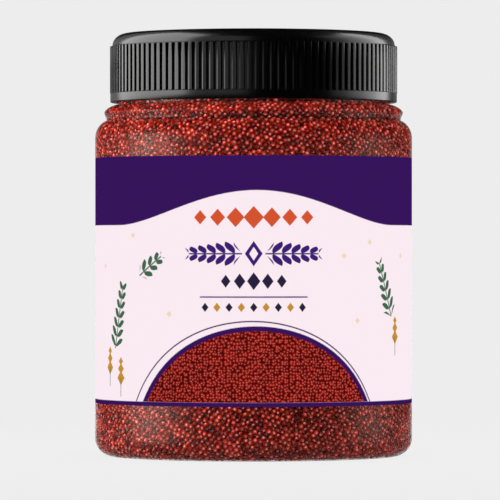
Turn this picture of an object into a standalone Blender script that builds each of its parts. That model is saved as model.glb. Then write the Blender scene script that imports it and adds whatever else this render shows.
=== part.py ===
"""A shut, wide-mouth clear jar full of red quinoa, with a ribbed black screw cap and a printed wrap label.

Lengths are in metres and +Z is up. The origin is the middle of the foot, on the surface that the jar
stands on. The front of the label faces -Y.
"""

import math
import random

import bmesh
import bpy
from mathutils import Euler, Matrix, Vector

MM = 0.001

# Gap between pieces that touch on the real object
FIT_GAP = 0.3 * MM

# Jar: a blown body with a heel, a shoulder, a waist, a bead and a straight neck. The drops say how far a
# surface inside the outer one has its bead and its waist below it, for each unit that it lies inside.
JAR_SEGMENTS = 48
WALL = 0.7 * MM
BODY_RADIUS = 47.5 * MM
BODY_TOP = 95.0 * MM
HEEL_RADIUS = 5.5 * MM
FOOT_INNER_RADIUS = 36.0 * MM
PUSH_UP = 2.5 * MM
SHOULDER_DEPTH = 4.6 * MM
SHOULDER_HEIGHT = 5.6 * MM
SHOULDER_TURN = math.radians(72.0)
WAIST_RADIUS = 44.05 * MM
WAIST_Z = 101.0 * MM
BEAD_RADIUS = 44.75 * MM
BEAD_Z = 102.8 * MM
BEAD_POWER = 1.6
BEAD_DROP = 1.0 / 3.0
WAIST_DROP = 0.25
NECK_RADIUS = 40.7 * MM
NECK_FOOT_Z = 105.2 * MM
LIP_Z = 124.5 * MM

# Label: a sleeve that lies in a shallow recess of the body
LABEL_BOTTOM = 15.8 * MM
LABEL_TOP = 89.0 * MM
LABEL_THICKNESS = 0.2 * MM
RECESS_DEPTH = LABEL_THICKNESS + FIT_GAP

# Cap: a shell with a rounded top edge, ribs round its side and a plain band below them
CAP_SEGMENTS = 60
CAP_BOTTOM = 105.8 * MM
CAP_TOP = 126.5 * MM
CAP_ROOF = 1.7 * MM
CAP_RADIUS = 42.35 * MM
CAP_EDGE_WIDTH = 3.0 * MM
CAP_EDGE_HEIGHT = 3.3 * MM
CAP_BORE_RADIUS = NECK_RADIUS + 2 * FIT_GAP
BAND_RADIUS = 42.97 * MM
BAND_TOP = 108.5 * MM
BAND_CHAMFER = 0.3 * MM
RIB_COUNT = 120
RIB_RADIUS = 43.07 * MM
RIB_ROOT_RADIUS = 41.9 * MM
RIB_WIDTH = 1.45 * MM
RIB_BOTTOM = 108.3 * MM
RIB_TOP = 122.9 * MM
RIB_SLOPE = 0.5 * MM

# Quinoa: a core behind the wall with seeds that stand proud of it where the jar shows them
HEAP_GAP = 1.15 * MM
HEAP_TOP = 117.0 * MM
HEAP_EDGE = 2.5 * MM
HEAP_CROWN = 0.8 * MM
SEED_WIDTH = 1.75 * MM
SEED_THICKNESS = 1.25 * MM
SEED_TILT = math.radians(28.0)
SEED_VARIATION = 0.12
UPPER_SEEDS = 54
UPPER_BAND = (90.6 * MM, 104.2 * MM)
LOWER_SEEDS = 46
LOWER_BAND = (2.6 * MM, 14.2 * MM)
GOLDEN_ANGLE = math.pi * (3.0 - math.sqrt(5.0))
RANDOM_SEED = 11

ARC_STEPS = 3
DOME_STEPS = 2
MERGE_DISTANCE = 1e-6
SHARP_ANGLE = math.radians(35.0)


def clear_scene():
    for item in list(bpy.data.objects):
        bpy.data.objects.remove(item, do_unlink=True)


def new_collection(name, parent):
    collection = bpy.data.collections.new(name)
    parent.children.link(collection)
    return collection


def finish_material(name, colour, roughness, metallic=0.0, transmission=0.0):
    material = bpy.data.materials.new(name)
    material.use_nodes = True
    shader = material.node_tree.nodes["Principled BSDF"]
    shader.inputs["Base Color"].default_value = (*colour, 1.0)
    shader.inputs["Roughness"].default_value = roughness
    shader.inputs["Metallic"].default_value = metallic
    shader.inputs["Transmission Weight"].default_value = transmission
    return material


def arc(centre, wide, high, start, end, power=2.0, steps=ARC_STEPS):
    """Points from one angle to another round a centre, on an ellipse if the power is 2."""
    points = []
    for step in range(steps + 1):
        angle = start + (end - start) * step / steps
        across = math.copysign(abs(math.cos(angle)) ** (2.0 / power), math.cos(angle))
        up = math.copysign(abs(math.sin(angle)) ** (2.0 / power), math.sin(angle))
        points.append((centre[0] + wide * across, centre[1] + high * up))
    return points


def dome(height):
    """The pushed-up middle of the base at a height above the foot, from the axis outwards."""
    points = []
    for step in range(DOME_STEPS + 1):
        radius = FOOT_INNER_RADIUS * step / DOME_STEPS
        rise = PUSH_UP * (1.0 + math.cos(math.pi * step / DOME_STEPS)) / 2.0
        points.append((radius, height + rise))
    return points


def heel(inset):
    """The rounded bottom corner, as far inside the jar's surface as the inset says."""
    centre = (BODY_RADIUS - HEEL_RADIUS, HEEL_RADIUS)
    radius = HEEL_RADIUS - inset
    return arc(centre, radius, radius, -math.pi / 2.0, 0.0)


def shoulder(inset):
    centre = (BODY_RADIUS - SHOULDER_DEPTH, BODY_TOP)
    return arc(centre, SHOULDER_DEPTH - inset, SHOULDER_HEIGHT - inset, 0.0, SHOULDER_TURN)


def waist(inset):
    return (WAIST_RADIUS - inset, WAIST_Z - WAIST_DROP * inset)


def bead(inset):
    """The bead's upper half, from its widest point in to the neck."""
    lower = BEAD_Z - BEAD_DROP * inset
    upper = NECK_FOOT_Z - inset
    wide = BEAD_RADIUS - NECK_RADIUS
    centre = (NECK_RADIUS - inset, lower)
    return arc(centre, wide, upper - lower, 0.0, math.pi / 2.0, BEAD_POWER)


def jar_outside():
    """The jar's outer profile from the middle of the base up to the lip."""
    recess_radius = BODY_RADIUS - RECESS_DEPTH
    recess_bottom = LABEL_BOTTOM - FIT_GAP
    recess_top = LABEL_TOP + FIT_GAP
    points = dome(0.0) + heel(0.0)
    points += [(BODY_RADIUS, recess_bottom), (recess_radius, recess_bottom)]
    points += [(recess_radius, recess_top), (BODY_RADIUS, recess_top)]
    points += shoulder(0.0)
    points += [waist(0.0), ((WAIST_RADIUS + BEAD_RADIUS) / 2.0, (WAIST_Z + BEAD_Z) / 2.0)]
    points += bead(0.0)
    points.append((NECK_RADIUS, LIP_Z))
    return points


def jar_inside():
    """The jar's inner profile from the middle of the floor up to the lip."""
    body = BODY_RADIUS - WALL
    recess = body - RECESS_DEPTH
    points = dome(WALL) + heel(WALL)
    points += [(body, LABEL_BOTTOM - WALL - FIT_GAP), (recess, LABEL_BOTTOM - FIT_GAP)]
    points += [(recess, LABEL_TOP + FIT_GAP), (body, LABEL_TOP + WALL + FIT_GAP)]
    points += shoulder(WALL)
    points.append(waist(WALL))
    points += bead(WALL)
    points.append((NECK_RADIUS - WALL, LIP_Z))
    return points


def heap_outside():
    """The core's profile from the middle of its underside up to the middle of its top."""
    inset = WALL + HEAP_GAP
    neck = NECK_RADIUS - inset
    points = dome(inset) + heel(inset) + shoulder(inset)
    points.append(waist(inset))
    points += bead(inset)
    points += arc((neck - HEAP_EDGE, HEAP_TOP - HEAP_EDGE), HEAP_EDGE, HEAP_EDGE, 0.0, math.pi / 2.0)
    points.append((0.0, HEAP_TOP + HEAP_CROWN))
    return points


def radius_at(profile, height):
    """The profile's radius at a height, between its nearest points above and below."""
    for (low_radius, low), (high_radius, high) in zip(profile, profile[1:]):
        if low <= height <= high and high > low:
            return low_radius + (high_radius - low_radius) * (height - low) / (high - low)
    raise ValueError(f"the profile doesn't reach {height}")


def turned(name, profile, segments, material, collection, closed=False):
    """A solid of revolution about Z, from a profile at +X that runs down its outer side."""
    mesh = bpy.data.meshes.new(name)
    shape = bmesh.new()
    corners = [shape.verts.new((radius, 0.0, height)) for radius, height in profile]
    for first, second in zip(corners, corners[1:]):
        shape.edges.new((first, second))
    if closed:
        shape.edges.new((corners[-1], corners[0]))
    shape.to_mesh(mesh)
    shape.free()
    piece = bpy.data.objects.new(name, mesh)
    collection.objects.link(piece)
    screw = piece.modifiers.new("turn", "SCREW")
    screw.axis = "Z"
    screw.angle = 2.0 * math.pi
    screw.steps = segments
    screw.render_steps = segments
    screw.use_merge_vertices = True
    screw.merge_threshold = MERGE_DISTANCE
    mesh.materials.append(material)
    return piece


def apply_modifiers(piece):
    """Turn what the modifiers make into the piece's own mesh, smooth except at its sharp edges."""
    depsgraph = bpy.context.evaluated_depsgraph_get()
    mesh = bpy.data.meshes.new_from_object(piece.evaluated_get(depsgraph))
    piece.modifiers.clear()
    piece.data = mesh
    mesh.name = piece.name
    mesh.shade_smooth()
    mesh.set_sharp_from_angle(angle=SHARP_ANGLE)


def fuse(piece, additions):
    """Join every object of a collection to the piece, then remove them."""
    union = piece.modifiers.new("fuse", "BOOLEAN")
    union.operation = "UNION"
    union.operand_type = "COLLECTION"
    union.collection = additions
    union.solver = "EXACT"
    apply_modifiers(piece)
    for item in list(additions.objects):
        bpy.data.objects.remove(item, do_unlink=True)
    bpy.data.collections.remove(additions)


def add_guide(name, mesh, place, collection):
    guide = bpy.data.objects.new(name, mesh)
    guide.matrix_world = place
    guide.hide_render = True
    guide.display_type = "WIRE"
    collection.objects.link(guide)


def rib_mesh(material):
    """One upright rib in front of the axis, its top sloping in to the shell."""
    mesh = bpy.data.meshes.new("rib")
    shape = bmesh.new()
    depth = RIB_RADIUS - RIB_ROOT_RADIUS
    middle = Vector(((RIB_RADIUS + RIB_ROOT_RADIUS) / 2.0, 0.0, (RIB_BOTTOM + RIB_TOP) / 2.0))
    bmesh.ops.create_cube(shape, size=1.0)
    bmesh.ops.scale(shape, vec=(depth, RIB_WIDTH, RIB_TOP - RIB_BOTTOM), verts=shape.verts)
    bmesh.ops.translate(shape, vec=middle, verts=shape.verts)
    for corner in shape.verts:
        if corner.co.z > middle.z and corner.co.x > middle.x:
            corner.co.z -= RIB_SLOPE
    shape.to_mesh(mesh)
    shape.free()
    mesh.materials.append(material)
    return mesh


def make_cap(collection, guides):
    material = finish_material("black_plastic", (0.012, 0.012, 0.013), 0.25)
    edge_centre = (CAP_RADIUS - CAP_EDGE_WIDTH, CAP_TOP - CAP_EDGE_HEIGHT)
    profile = [(0.0, CAP_TOP)]
    profile += arc(edge_centre, CAP_EDGE_WIDTH, CAP_EDGE_HEIGHT, math.pi / 2.0, 0.0)
    profile += [(CAP_RADIUS, BAND_TOP + BAND_CHAMFER), (BAND_RADIUS, BAND_TOP)]
    profile += [(BAND_RADIUS, CAP_BOTTOM + BAND_CHAMFER), (BAND_RADIUS - BAND_CHAMFER, CAP_BOTTOM)]
    profile += [(CAP_BORE_RADIUS, CAP_BOTTOM), (CAP_BORE_RADIUS, CAP_TOP - CAP_ROOF), (0.0, CAP_TOP - CAP_ROOF)]
    cap = turned("cap", profile, CAP_SEGMENTS, material, collection)
    ribs = new_collection("ribs", guides)
    mesh = rib_mesh(material)
    for index in range(RIB_COUNT):
        angle = 2.0 * math.pi * (index + 0.5) / RIB_COUNT
        add_guide(f"rib_{index + 1}", mesh, Matrix.Rotation(angle, 4, "Z"), ribs)
    fuse(cap, ribs)


def make_jar(collection):
    material = finish_material("clear_plastic", (0.98, 0.98, 0.98), 0.03, transmission=1.0)
    profile = jar_inside() + jar_outside()[::-1]
    jar = turned("jar", profile, JAR_SEGMENTS, material, collection)
    apply_modifiers(jar)


def make_label(collection):
    material = finish_material("printed_film", (0.95, 0.82, 0.88), 0.35)
    inner = BODY_RADIUS - LABEL_THICKNESS
    profile = [(BODY_RADIUS, LABEL_TOP), (BODY_RADIUS, LABEL_BOTTOM)]
    profile += [(inner, LABEL_BOTTOM), (inner, LABEL_TOP)]
    label = turned("label", profile, JAR_SEGMENTS, material, collection, closed=True)
    apply_modifiers(label)


def seed_mesh(material):
    """One seed: a flattened ball with few sides, its short axis along Z."""
    mesh = bpy.data.meshes.new("seed")
    shape = bmesh.new()
    bmesh.ops.create_icosphere(shape, subdivisions=1, radius=SEED_WIDTH / 2.0)
    bmesh.ops.scale(shape, vec=(1.0, 1.0, SEED_THICKNESS / SEED_WIDTH), verts=shape.verts)
    shape.to_mesh(mesh)
    shape.free()
    mesh.materials.append(material)
    return mesh


def seed_place(angle, height, wall, draws):
    """Where one seed lies against the wall, its flat face turned outwards and a little askew."""
    size = 1.0 + draws.uniform(-SEED_VARIATION, SEED_VARIATION)
    tilt = draws.uniform(-SEED_TILT, SEED_TILT)
    roll = draws.uniform(0.0, math.pi)
    half_width = SEED_WIDTH * size / 2.0
    half_thickness = SEED_THICKNESS * size / 2.0
    reach = math.hypot(half_width * math.sin(tilt), half_thickness * math.cos(tilt))
    limit = min(radius_at(wall, height + step * half_width) for step in (-1.0, -0.5, 0.0, 0.5, 1.0))
    facet = math.cos(math.pi / JAR_SEGMENTS)
    radius = (limit - FIT_GAP) * facet - reach
    turn = Matrix.Rotation(angle, 4, "Z")
    move = Matrix.Translation((radius, 0.0, height))
    pose = Euler((0.0, math.pi / 2.0 + tilt, 0.0)).to_matrix().to_4x4() @ Matrix.Rotation(roll, 4, "Z")
    return turn @ move @ pose @ Matrix.Scale(size, 4)


def make_quinoa(collection, guides):
    material = finish_material("red_quinoa", (0.23, 0.035, 0.022), 0.5)
    heap = turned("quinoa", heap_outside()[::-1], JAR_SEGMENTS, material, collection)
    seeds = new_collection("seeds", guides)
    mesh = seed_mesh(material)
    wall = jar_inside()
    draws = random.Random(RANDOM_SEED)
    bands = (("upper", UPPER_SEEDS, UPPER_BAND), ("lower", LOWER_SEEDS, LOWER_BAND))
    for name, count, (low, high) in bands:
        for index in range(count):
            height = low + (high - low) * (index + 0.5) / count
            place = seed_place(index * GOLDEN_ANGLE, height, wall, draws)
            add_guide(f"seed_{name}_{index + 1}", mesh, place, seeds)
    fuse(heap, seeds)


def main():
    clear_scene()
    scene_root = bpy.context.scene.collection
    parts = new_collection("jar_of_red_quinoa", scene_root)
    guides = new_collection("guides", scene_root)
    make_jar(parts)
    make_label(parts)
    make_cap(parts, guides)
    make_quinoa(parts, guides)


main()
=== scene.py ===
"""Looks for a shut, clear wide-mouth jar of red quinoa with a ribbed black screw cap and a printed label.

Lengths are in metres and +Z is up. The origin is the middle of the foot, and the label's front faces -Y.
"""

import math

import bmesh
import bpy
import numpy as np
from mathutils import Color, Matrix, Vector
from mathutils.geometry import interpolate_bezier
from mathutils.kdtree import KDTree


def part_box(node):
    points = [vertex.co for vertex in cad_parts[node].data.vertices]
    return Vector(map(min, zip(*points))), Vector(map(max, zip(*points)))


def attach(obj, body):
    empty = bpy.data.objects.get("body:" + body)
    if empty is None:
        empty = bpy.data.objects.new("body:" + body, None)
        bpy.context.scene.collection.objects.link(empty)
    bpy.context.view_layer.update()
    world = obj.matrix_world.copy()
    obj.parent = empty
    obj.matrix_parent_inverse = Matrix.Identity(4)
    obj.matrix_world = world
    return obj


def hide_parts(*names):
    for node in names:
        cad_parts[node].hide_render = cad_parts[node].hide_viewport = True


bl_info = {
    "name": "Jar of Red Quinoa",
    "version": (1, 0, 0),
    "blender": (4, 5, 0),
    "location": "View3D > Sidebar > Quinoa Jar",
    "description": "Dresses the packed solids of a jar of red quinoa in seeds, plastic and printed film",
    "category": "Object",
}

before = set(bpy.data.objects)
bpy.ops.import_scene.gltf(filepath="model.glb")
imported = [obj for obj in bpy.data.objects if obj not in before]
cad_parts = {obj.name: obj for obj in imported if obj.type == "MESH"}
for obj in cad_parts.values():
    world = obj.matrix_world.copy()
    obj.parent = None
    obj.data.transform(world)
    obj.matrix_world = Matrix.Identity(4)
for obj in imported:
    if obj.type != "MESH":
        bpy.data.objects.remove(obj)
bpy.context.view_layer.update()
JAR_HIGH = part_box("jar")[1]
LABEL_LOW, LABEL_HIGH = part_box("label")
CAP_LOW, CAP_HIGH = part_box("cap")

MM = 0.001
BODY = "root"
FULL_TURN = 2.0 * math.pi
WELD = 1e-6

# Jar, from its foot up to its lip
WALL_STEPS = 240
HEEL_RADIUS = 5.5 * MM
FOOT_INNER_RADIUS = 36.0 * MM
PUSH_UP = 2.5 * MM
BODY_TOP = 95.0 * MM
SHOULDER_DEPTH = 4.6 * MM
SHOULDER_HEIGHT = 5.6 * MM
SHOULDER_TURN = math.radians(72.0)
WAIST_PULL = 0.75 * MM
BEAD_RADIUS = 44.75 * MM
BEAD_Z = 102.8 * MM
BEAD_POWER = 1.6
NECK_RADIUS = 40.7 * MM
NECK_FOOT_Z = 105.2 * MM
LIP_ROUND = 0.3 * MM

# Film label, which lies in a dent as deep as the film is thick
FILM_THICKNESS = 0.06 * MM
FILM_GAP = 0.01 * MM
DENT_RUN = 0.4 * MM
FILM_STEPS = 288
FILM_ROWS = 20
FILM_EDGE = 0.05 * MM
FILM_OVERLAP = 11.0 * MM
FILM_LIFT_RUN = 3.0 * MM
PRINT_UV = "print"
UV_SIZE = 100.0 * MM

# Cap
CAP_ROOF = 1.7 * MM
CAP_EDGE_WIDTH = 4.2 * MM
CAP_EDGE_HEIGHT = 3.7 * MM
CAP_SHELL_RADIUS = 42.35 * MM
CAP_BORE_RADIUS = 41.3 * MM
BAND_RADIUS = 42.97 * MM
BAND_TOP = 108.5 * MM
BAND_LIP = 0.04 * MM
BAND_ROUND = 0.35 * MM
CORNER = 0.1 * MM
RIB_COUNT = 120
RIB_ROOT_RADIUS = 41.9 * MM
RIB_MIDDLE = 116.0 * MM
RIB_TOP = 122.5 * MM

# Sunken disc in the cap's top: radius in millimetres, and the part of its depth there
DISC_DEPTH = 0.35 * MM
DISC_SECTION = ((0.0, 1.0), (17.0, 1.0), (33.6, 1.0), (34.2, 0.85), (34.8, 0.15), (35.4, 0.0))

# Round crest over the ribs: millimetres out from the cap's shell and up from the ribs' top
RIB_CREST = ((0.2, 0.23), (0.5, 0.14), (0.68, 0.05))

# Height over which a slot's end falls to its floor
SLOT_END = 0.12 * MM

# A slot between two ribs: degrees from its middle, and the part of its depth that is cut there.
# One edge of each rib is crisp, and the other one is gently rounded.
SLOT_SECTION = (
    (-0.86, 0.0),
    (-0.80, 0.06),
    (-0.74, 0.45),
    (-0.68, 1.0),
    (0.0, 1.0),
    (0.36, 1.0),
    (0.40, 0.6),
    (0.44, 0.10),
    (0.58, 0.07),
    (0.80, 0.01),
    (0.92, 0.0),
    (1.3, 0.0),
    (1.8, 0.0),
)

# Seeds: the shares of their colours, and the zones where the bare wall shows them, each with its two ends and
# how much deeper its seeds lie, in their thicknesses. The last zone fills the waist from behind.
SEED_KINDS = (("deep_red", 0.30), ("maroon", 0.26), ("russet", 0.24), ("rose", 0.20))
SEED_ZONES = (
    (86.5 * MM, 107.5 * MM, 0.0),
    (-1.0 * MM, 18.2 * MM, 0.0),
    (98.4 * MM, 102.2 * MM, 0.6),
)
WALL_SAMPLE = 0.15 * MM
SAMPLES_AT_ONCE = 1000
GOLDEN_ANGLE = math.pi * (3.0 - math.sqrt(5.0))
SHAKE = 0.3
RANDOM_SEED = 11

# How seeds push each other apart: rounds, neighbours, reach in spacings, and the part made good each time
RELAX_ROUNDS = 7
NEIGHBOURS = 8
PUSH_REACH = 1.12
PUSH_PART = 0.32

# How seeds differ: spread and ends of their size, and ends of their stretch and of their bite
SIZE_SPREAD = 0.075
SIZE_ENDS = (0.82, 1.2)
STRETCH_ENDS = (0.93, 1.07)
BITE_ENDS = (0.3, 1.25)

# Heap behind the seeds: depth behind the wall in seeds' thicknesses, level, rounded edge and crown
HEAP_DEPTH = 0.85
HEAP_LEVEL = 117.0 * MM
HEAP_EDGE = 2.5 * MM
HEAP_CROWN = 0.8 * MM
HEAP_STEP = 0.02 * MM

# Label print, in millimetres round the film from the middle of its front and up from the foot
PANEL = math.pi * JAR_HIGH.x / MM
BELL_MIDDLE, BELL_HALF, BELL_RISE, BELL_FOOT = 1.0, 48.0, 5.05, 69.0
STRIPE_HEIGHT = 1.22
GRAIN_SIZE = 0.88
GRAIN_MIDDLE, GRAIN_RADIUS, RING_RADIUS = (0.7, -1.6), 39.7, 41.1
LINE_MIDDLE, LINE_RADIUS, LINE_HALF = (-0.3, -1.9), 42.8, 0.2
GARLAND_UP = 60.6
SMALL_ROW_UP = 45.0
BACK_HALF, BACK_FOOT, BACK_PITCH, BACK_LINES = 30.0, 30.0, 7.0, 5

# Rows of lozenges: colour, how many on each side of the middle one, pitch, height, half height of the middle
# one, how much less each further one has, and its width to its height
LOZENGE_ROWS = (
    ("warm", 3, 5.3, 71.2, 3.3, 0.4, 0.9),
    ("dark", 2, 4.1, 52.6, 2.6, 0.35, 0.75),
)

# Sprigs with their place, angle and length, seed heads, and lozenges strewn round them
SPRIGS = ((-47.0, 42.0, 1.35, 19.0), (45.5, 50.0, 1.95, 17.0), (-33.0, 57.0, 0.6, 10.0))
SEED_HEADS = ((-52.5, 27.0), (-46.0, 24.0), (51.0, 36.0))
SEED_HEAD_PARTS = ((0.0, 1.9), (2.7, 1.5), (4.9, 1.1))
STALK_HALF = 2.75
STREWN = ((-40.0, 66.0), (-56.0, 57.0), (-26.0, 43.0), (28.0, 60.0), (38.0, 64.0), (33.0, 41.0), (55.0, 60.0))

# Linear colours that no setting holds
# Painted shade at each seed's rim, where it turns away between its neighbours
SEED_RIM_SHADE = (0.036, 0.0003, 0.0)
SMEARED_TINT = (0.97, 0.97, 0.965)
FLOOR_DARK, FLOOR_LIGHT = (0.78, 0.78, 0.78), (0.82, 0.82, 0.82)

# Middling values of a noise, which its lows and highs are taken from
NOISE_LOW, NOISE_HIGH = 0.3, 0.7

# Groups of pieces that lamps keep to
LIT_SEEDS = "lit_seeds"
LIT_WALL = "lit_wall"
LIT_GLOSS = "lit_gloss"
LIT_PRINT = "lit_print"

# Round lamps that light the seeds alone: azimuth and elevation in degrees, size in metres, brightness
LAMP_DISTANCE = 0.34
SEED_LAMPS = (
    ("seed_key", -14.0, 50.0, 0.096, 15.2),
    ("seed_left", -52.0, 36.0, 0.156, 9.4),
    ("seed_right", 80.0, 32.0, 0.136, 11.0),
    ("seed_back", 172.0, 46.0, 0.096, 18.0),
)

# Round lamps whose sheen veils the sides of the clear wall, given like those for the seeds
WALL_LAMPS = (
    ("veil_left", -75.0, 11.0, 0.21, 5.6),
    ("veil_right", 88.0, 5.0, 0.184, 1.9),
)

# Upright screens that only the cap's gloss mirrors: azimuths of their two sides, top and brightness
SCREEN_DISTANCE = 0.8
SCREEN_FOOT = -0.05
SCREENS = (
    ("left_back", -158.0, -135.0, 1.2, 0.25),
    ("left", -135.0, -54.0, 1.7, 2.4),
    ("left_front", -54.0, -5.0, 1.0, 0.27),
    ("right_front", 66.0, 82.0, 0.95, 0.3),
    ("right", 82.0, 98.0, 0.95, 1.0),
    ("right_middle", 98.0, 112.0, 1.0, 1.75),
    ("right_back", 112.0, 134.0, 1.1, 2.7),
    ("right_far_back", 134.0, 160.0, 1.1, 0.08),
)


def linear(*steps):
    """A colour given in the 0 to 255 steps of a picture, as the linear values that shaders take."""
    return tuple(Color([step / 255.0 for step in steps]).from_srgb_to_scene_linear())


def scaled(colour, times, plus=0.0):
    return tuple(min(1.0, part * times + plus) for part in colour)


def colour_property(name, description, colour):
    return bpy.props.FloatVectorProperty(
        name=name, description=description, subtype="COLOR", min=0.0, max=1.0, default=linear(*colour)
    )


def length_property(name, description, value):
    return bpy.props.FloatProperty(
        name=name, description=description, default=value, unit="LENGTH", precision=5
    )


def share_property(name, description, value):
    return bpy.props.FloatProperty(
        name=name, description=description, default=value, subtype="FACTOR", min=0.0, max=1.0
    )


def number_property(name, description, value):
    return bpy.props.FloatProperty(name=name, description=description, default=value, min=0.0)


class JarSettings(bpy.types.PropertyGroup):
    radius: length_property("Body radius", "Outer radius of the jar's body", JAR_HIGH.x)
    height: length_property("Height", "Height of the jar's lip above its foot", JAR_HIGH.z)
    wall: length_property("Wall", "Thickness of the clear wall", 0.22 * MM)
    ior: number_property("Index", "Refractive index of the wall", 1.03)
    tint: colour_property("Tint", "Colour that the clear wall lets through", (253, 253, 252))
    gloss: share_property("Gloss", "Strength of the wall's outer gloss", 0.5)
    gloss_roughness: share_property("Gloss roughness", "Roughness of the wall's outer gloss", 0.42)


class SeedSettings(bpy.types.PropertyGroup):
    width: length_property("Seed width", "Width of a middling seed", 1.72 * MM)
    thickness: length_property("Seed thickness", "Thickness of a middling seed", 1.30 * MM)
    spacing: length_property("Spacing", "Distance between the middles of two neighbours", 1.50 * MM)
    bite: length_property("Bite", "How far a seed reaches into the clear wall", 0.15 * MM)
    tilt: bpy.props.FloatProperty(
        name="Tilt", description="Spread of the seeds' tilt", default=math.radians(32.0), subtype="ANGLE"
    )
    deep_red: colour_property("Deep red", "Colour of most seeds", (140, 20, 10))
    maroon: colour_property("Maroon", "Colour of the darkest seeds", (104, 12, 7))
    russet: colour_property("Russet", "Colour of the orange brown seeds", (150, 33, 11))
    rose: colour_property("Rose", "Colour of the palest seeds", (160, 32, 20))
    # A painted highlight: the pale spot painted in the middle of each seed's faces
    painted_highlight: colour_property("Husk", "Colour of the pale spot in the middle of a seed's faces", (212, 158, 148))
    # Painted shade: the heap is coloured far darker than the seeds so that it stands for the shade deep
    # between them
    core: colour_property("Heap", "Colour deep between the seeds", (46, 3, 1))


class CapSettings(bpy.types.PropertyGroup):
    radius: length_property("Rib radius", "Outer radius of the cap over its ribs", CAP_HIGH.x)
    top: length_property("Top", "Height of the cap's top above the foot", CAP_HIGH.z)
    bottom: length_property("Skirt", "Height of the skirt's lower edge above the foot", CAP_LOW.z)
    colour: colour_property("Colour", "Colour of the moulded plastic", (2, 2, 2))
    roughness: share_property("Roughness", "Roughness of the moulded plastic", 0.24)


class LabelSettings(bpy.types.PropertyGroup):
    top: length_property("Top edge", "Height of the label's upper edge", LABEL_HIGH.z + 0.2 * MM)
    bottom: length_property("Bottom edge", "Height of the label's lower edge", LABEL_LOW.z + 0.25 * MM)
    field: colour_property("Field", "Colour of the label's ground", (252, 236, 243))
    band: colour_property("Band", "Colour of the upper band and the ring", (54, 21, 92))
    ink: colour_property("Ink", "Colour of the fine purple ornament", (62, 30, 116))
    dark: colour_property("Dark", "Colour of the darkest lozenges", (42, 34, 62))
    warm: colour_property("Warm", "Colour of the upper row of lozenges", (214, 84, 48))
    ochre: colour_property("Ochre", "Colour of the small seed heads", (198, 143, 48))
    leaf: colour_property("Leaf", "Colour of the sprigs", (62, 104, 78))
    pale: colour_property("Pale", "Colour of the scattered lozenges", (238, 219, 184))
    grain: colour_property("Printed grain", "Middling colour of the printed grains", (152, 30, 20))
    roughness: share_property("Roughness", "Roughness of the printed film", 0.42)


class StageSettings(bpy.types.PropertyGroup):
    lens: bpy.props.FloatProperty(
        name="Lens", description="Focal length in millimetres", default=360.0, min=1.0, unit="CAMERA"
    )
    distance: length_property("Distance", "Distance of the camera from the jar's axis", 1.4998)
    camera_height: length_property("Camera height", "Height of the camera above the foot", 61.68 * MM)
    camera_side: length_property("Camera side", "How far the camera stands to the axis's right", -1.08 * MM)
    backdrop: colour_property("Backdrop", "Colour of the floor and of what is behind", (237, 237, 237))
    low_light: number_property("Low light", "Strength of the soft light at the horizon", 1.397)
    high_light: number_property("High light", "Strength of the soft light from above", 2.685)
    floor_light: share_property("Floor light", "Part of the horizon's light that comes from below", 0.12)
    inner_light: share_property("Inner light", "Part of the soft light that comes in through the wall", 0.33)
    seed_light: number_property("Seed light", "Strength of the lamps that light the seeds", 1.0)
    veil_light: number_property("Veil light", "Strength of the lamps that veil the wall's sides", 1.0)
    veil_colour: colour_property("Veil colour", "Colour of the lamps that veil the wall", (255, 246, 230))
    gloss_light: number_property("Gloss light", "Strength of the screens that the cap mirrors", 1.0)


SETTINGS = (
    ("jar_wall_settings", JarSettings),
    ("quinoa_settings", SeedSettings),
    ("jar_cap_settings", CapSettings),
    ("jar_label_settings", LabelSettings),
    ("jar_stage_settings", StageSettings),
)


# Profiles, as (radius, height) points


def arc(centre, wide, high, start, end, steps, power=2.0):
    """Points from one angle to another round a centre, on an ellipse if the power is 2."""
    points = []
    for step in range(steps + 1):
        angle = start + (end - start) * step / steps
        across = math.copysign(abs(math.cos(angle)) ** (2.0 / power), math.cos(angle))
        up = math.copysign(abs(math.sin(angle)) ** (2.0 / power), math.sin(angle))
        points.append((centre[0] + wide * across, centre[1] + high * up))
    return points


def foot_dome(steps=12):
    """The pushed-up middle of the foot, from the axis outwards."""
    points = []
    for step in range(steps + 1):
        rise = PUSH_UP * (1.0 + math.cos(math.pi * step / steps)) / 2.0
        points.append((FOOT_INNER_RADIUS * step / steps, rise))
    return points


def waist_curve(shoulder_end, bead_start):
    """The smooth dip between the shoulder and the bead, without its two ends."""
    slope = Vector((-SHOULDER_DEPTH * math.sin(SHOULDER_TURN), SHOULDER_HEIGHT * math.cos(SHOULDER_TURN)))
    first, last = Vector(shoulder_end), Vector(bead_start)
    leave = first + slope.normalized() * WAIST_PULL
    arrive = last - Vector((0.0, WAIST_PULL))
    return [tuple(point)[:2] for point in interpolate_bezier(first, leave, arrive, last, 12)][1:-1]


def jar_outline(jar, label):
    """The jar's outer profile, from the middle of its foot up to its lip."""
    dent = jar.radius - FILM_THICKNESS - FILM_GAP
    points = foot_dome()
    points += arc((jar.radius - HEEL_RADIUS, HEEL_RADIUS), HEEL_RADIUS, HEEL_RADIUS, -math.pi / 2.0, 0.0, 12)
    points += [(jar.radius, label.bottom - DENT_RUN), (dent, label.bottom - FILM_GAP)]
    points += [(dent, label.bottom + (label.top - label.bottom) * step / 6) for step in range(1, 6)]
    points += [(dent, label.top + FILM_GAP), (jar.radius, label.top + DENT_RUN)]
    shoulder_middle = (jar.radius - SHOULDER_DEPTH, BODY_TOP)
    shoulder = arc(shoulder_middle, SHOULDER_DEPTH, SHOULDER_HEIGHT, 0.0, SHOULDER_TURN, 14)
    bead_size = (BEAD_RADIUS - NECK_RADIUS, NECK_FOOT_Z - BEAD_Z)
    bead = arc((NECK_RADIUS, BEAD_Z), *bead_size, 0.0, math.pi / 2.0, 12, BEAD_POWER)
    points += shoulder + waist_curve(shoulder[-1], bead[0]) + bead
    points += [(NECK_RADIUS, jar.height - LIP_ROUND), (NECK_RADIUS - LIP_ROUND, jar.height)]
    return points


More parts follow.
